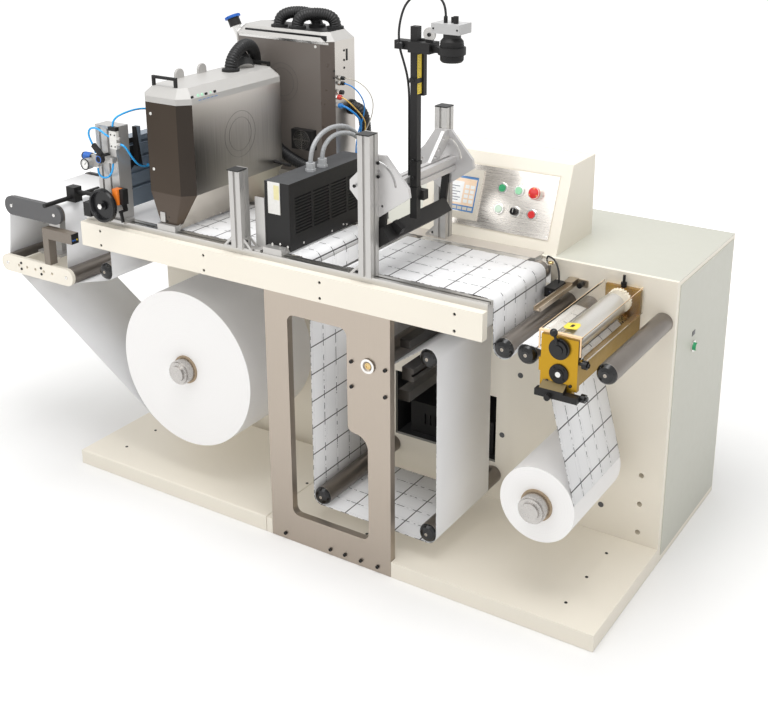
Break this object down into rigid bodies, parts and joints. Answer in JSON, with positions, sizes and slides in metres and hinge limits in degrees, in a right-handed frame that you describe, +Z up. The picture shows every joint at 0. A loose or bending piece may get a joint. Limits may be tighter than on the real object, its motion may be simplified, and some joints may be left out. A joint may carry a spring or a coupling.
{
  "type": "digital label press",
  "caption": "Narrow-web label printing press: cream cabinet, web rollers and rolls on its front, print bed with two print engines, dryer, camera gantry, console and die station.",
  "frame": {"origin": "on the floor, in the middle of the main plate's thickness, half way along the cabinet", "axes": "+X along the press to the rewind end, +Y from the operator's side to the back, +Z up"},
  "size_m": [2.1413, 0.958, 1.5864],
  "materials": {
    "cream_paint": "satin",
    "stainless": "brushed",
    "engine_cap": "satin",
    "aluminium": "satin",
    "white_web": "matte",
    "black_anodised": "satin",
    "black_paint": "matte",
    "black_plastic": "gloss",
    "chuck_steel": "turned",
    "gold_anodised": "satin",
    "clear_acrylic": "clear",
    "black_roller": "satin",
    "hose_black": "satin"
  },
  "bodies": {
    "press": {"adjuster_beam": "black_anodised", "adjuster_frame": "aluminium", "adjuster_valves": "aluminium", "bed_frame": "aluminium", "cabinet_body": "cream_paint", "cabinet_covers": "cream_paint", "camera": "black_anodised", "camera_mast": "black_anodised", "console_housing": "cream_paint", "console_panel": "stainless", "die_frame": "gold_anodised", "die_guard": "clear_acrylic", "drive_unit": "black_paint", "dryer_body": "black_paint", "dryer_bracket": "aluminium", "engine_1_body": "stainless", "engine_1_cap": "engine_cap", "engine_2_body": "stainless", "front_rail": "cream_paint", "gantry_arm": "aluminium", "gantry_posts": "aluminium", "guide_ladder": "cream_paint", "guide_rods": "black_anodised", "guide_sensor": "black_anodised", "guide_sides": "black_anodised", "hoses_and_cables": "hose_black", "lamp_bar": "black_anodised", "main_plate": "cream_paint", "outfeed_sensor": "aluminium", "plinth_left": "cream_paint", "plinth_right": "cream_paint", "portal_frame": "stainless", "web_bed_first": "white_web", "web_bed_second": "white_web", "web_infeed": "white_web", "web_loop": "white_web", "web_outfeed": "white_web"},
    "guide_roller_upper_left": {"guide_roller_upper_left": "black_roller"},
    "guide_roller_upper_right": {"guide_roller_upper_right": "black_roller"},
    "guide_roller_lower_left": {"guide_roller_lower_left": "black_roller"},
    "guide_roller_lower_right": {"guide_roller_lower_right": "black_roller"},
    "infeed_roller": {"infeed_roller": "black_roller"},
    "bed_entry_roller": {"bed_entry_roller": "black_roller"},
    "bed_turn_roller": {"bed_turn_roller": "black_roller"},
    "loop_roller_left": {"loop_roller_left": "black_roller"},
    "loop_roller_right": {"loop_roller_right": "black_roller"},
    "loop_roller_upper": {"loop_roller_upper": "black_roller"},
    "drive_roller": {"drive_roller": "black_roller"},
    "bed_lift_roller": {"bed_lift_roller": "black_roller"},
    "bed_end_roller": {"bed_end_roller": "black_roller"},
    "outfeed_roller_left": {"outfeed_roller_left": "black_roller"},
    "outfeed_roller_right": {"outfeed_roller_right": "black_roller"},
    "spare_idler_roller": {"spare_idler_roller": "black_roller"},
    "unwind": {"unwind_chuck": "chuck_steel", "unwind_roll": "white_web"},
    "rewind": {"rewind_chuck": "chuck_steel", "rewind_roll": "white_web"},
    "adjuster_wheel": {"adjuster_handwheel": "black_plastic"},
    "die_lower": {"die_lower_cylinder": "chuck_steel"},
    "die_upper": {"die_upper_cylinder": "chuck_steel"}
  },
  "joints": [
    {"name": "guide_roller_upper_left_spin", "type": "hinge", "parent": "press", "child": "guide_roller_upper_left", "pos_m": [-1.168, -0.2, 0.823], "axis": [0, 1, 0], "continuous": true},
    {"name": "guide_roller_upper_right_spin", "type": "hinge", "parent": "press", "child": "guide_roller_upper_right", "pos_m": [-0.975, -0.2, 0.823], "axis": [0, 1, 0], "continuous": true},
    {"name": "guide_roller_lower_left_spin", "type": "hinge", "parent": "press", "child": "guide_roller_lower_left", "pos_m": [-1.197, -0.2, 0.629], "axis": [0, 1, 0], "continuous": true},
    {"name": "guide_roller_lower_right_spin", "type": "hinge", "parent": "press", "child": "guide_roller_lower_right", "pos_m": [-0.929, -0.2, 0.629], "axis": [0, 1, 0], "continuous": true},
    {"name": "infeed_roller_spin", "type": "hinge", "parent": "press", "child": "infeed_roller", "pos_m": [-0.787, -0.2, 0.667], "axis": [0, 1, 0], "continuous": true},
    {"name": "bed_entry_roller_spin", "type": "hinge", "parent": "press", "child": "bed_entry_roller", "pos_m": [-0.732, -0.2, 0.834], "axis": [0, 1, 0], "continuous": true},
    {"name": "bed_turn_roller_spin", "type": "hinge", "parent": "press", "child": "bed_turn_roller", "pos_m": [-0.034, -0.2, 0.834], "axis": [0, 1, 0], "continuous": true},
    {"name": "loop_roller_left_spin", "type": "hinge", "parent": "press", "child": "loop_roller_left", "pos_m": [0.021, -0.2, 0.135], "axis": [0, 1, 0], "continuous": true},
    {"name": "loop_roller_right_spin", "type": "hinge", "parent": "press", "child": "loop_roller_right", "pos_m": [0.376, -0.2, 0.132], "axis": [0, 1, 0], "continuous": true},
    {"name": "loop_roller_upper_spin", "type": "hinge", "parent": "press", "child": "loop_roller_upper", "pos_m": [0.374, -0.2, 0.655], "axis": [0, 1, 0], "continuous": true},
    {"name": "drive_roller_spin", "type": "hinge", "parent": "press", "child": "drive_roller", "pos_m": [0.228, -0.2, 0.623], "axis": [0, 1, 0], "continuous": true},
    {"name": "bed_lift_roller_spin", "type": "hinge", "parent": "press", "child": "bed_lift_roller", "pos_m": [0.13, -0.2, 0.834], "axis": [0, 1, 0], "continuous": true},
    {"name": "bed_end_roller_spin", "type": "hinge", "parent": "press", "child": "bed_end_roller", "pos_m": [0.534, -0.2, 0.834], "axis": [0, 1, 0], "continuous": true},
    {"name": "outfeed_roller_left_spin", "type": "hinge", "parent": "press", "child": "outfeed_roller_left", "pos_m": [0.592, -0.2, 0.735], "axis": [0, 1, 0], "continuous": true},
    {"name": "outfeed_roller_right_spin", "type": "hinge", "parent": "press", "child": "outfeed_roller_right", "pos_m": [0.657, -0.2, 0.735], "axis": [0, 1, 0], "continuous": true},
    {"name": "spare_idler_roller_spin", "type": "hinge", "parent": "press", "child": "spare_idler_roller", "pos_m": [0.868, -0.2, 0.733], "axis": [0, 1, 0], "continuous": true},
    {"name": "unwind_spin", "type": "hinge", "parent": "press", "child": "unwind", "pos_m": [-0.478, -0.2, 0.414], "axis": [0, 1, 0], "continuous": true},
    {"name": "rewind_spin", "type": "hinge", "parent": "press", "child": "rewind", "pos_m": [0.701, -0.2, 0.327], "axis": [0, 1, 0], "continuous": true},
    {"name": "adjuster_wheel_spin", "type": "hinge", "parent": "press", "child": "adjuster_wheel", "pos_m": [-0.685, -0.46, 0.92], "axis": [0, 1, 0], "continuous": true},
    {"name": "die_lower_spin", "type": "hinge", "parent": "press", "child": "die_lower", "pos_m": [0.755, -0.2, 0.716], "axis": [0, 1, 0], "continuous": true},
    {"name": "die_upper_spin", "type": "hinge", "parent": "press", "child": "die_upper", "pos_m": [0.755, -0.2, 0.782], "axis": [0, 1, 0], "continuous": true}
  ],
  "couplings": [
    {"joint": "die_upper_spin", "follows": "die_lower_spin", "ratio": -1}
  ]
}
